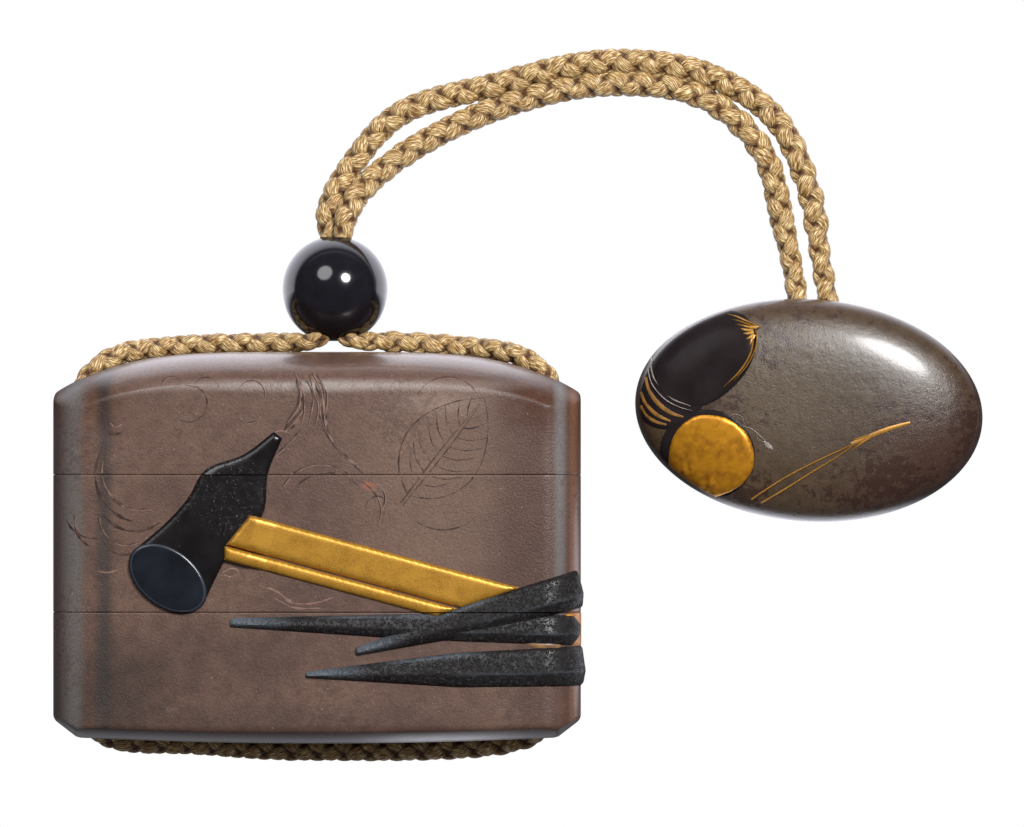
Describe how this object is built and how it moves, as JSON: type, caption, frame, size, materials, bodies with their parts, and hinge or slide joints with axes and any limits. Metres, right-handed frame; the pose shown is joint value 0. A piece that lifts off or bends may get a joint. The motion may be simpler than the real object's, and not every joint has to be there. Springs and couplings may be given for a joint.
{
  "type": "inro case",
  "caption": "Small tiered lacquer case with a lift-off lid, hung on a silk cord with a sliding bead and an egg-shaped toggle; raised smith's tools cross its front.",
  "frame": {"origin": "middle of the flat back face that the case lies on, under the middle of its width and height", "axes": "+X across the case to the viewer's right, +Y up its height towards the lid, +Z out of its decorated front"},
  "size_m": [0.131, 0.1006, 0.0238],
  "materials": {
    "brown_lacquer": "satin brown lacquer on wood with a fine iron-dust grain",
    "polished_black_lacquer": "mirror-polished black lacquer",
    "rough_black_lacquer": "raised black lacquer, charcoal-rough and sparkling",
    "gold_lacquer": "raised gold-powder lacquer, satin",
    "toggle_lacquer": "polished grey-brown lacquer with dark red mottling",
    "gold_silk": "plaited silk with fine parallel threads"
  },
  "bodies": {
    "root": {"lid": "brown_lacquer", "middle_case": "brown_lacquer", "lower_case": "brown_lacquer", "ojime": "polished_black_lacquer", "netsuke": "toggle_lacquer", "cord": "gold_silk"}
  },
  "joints": []
}
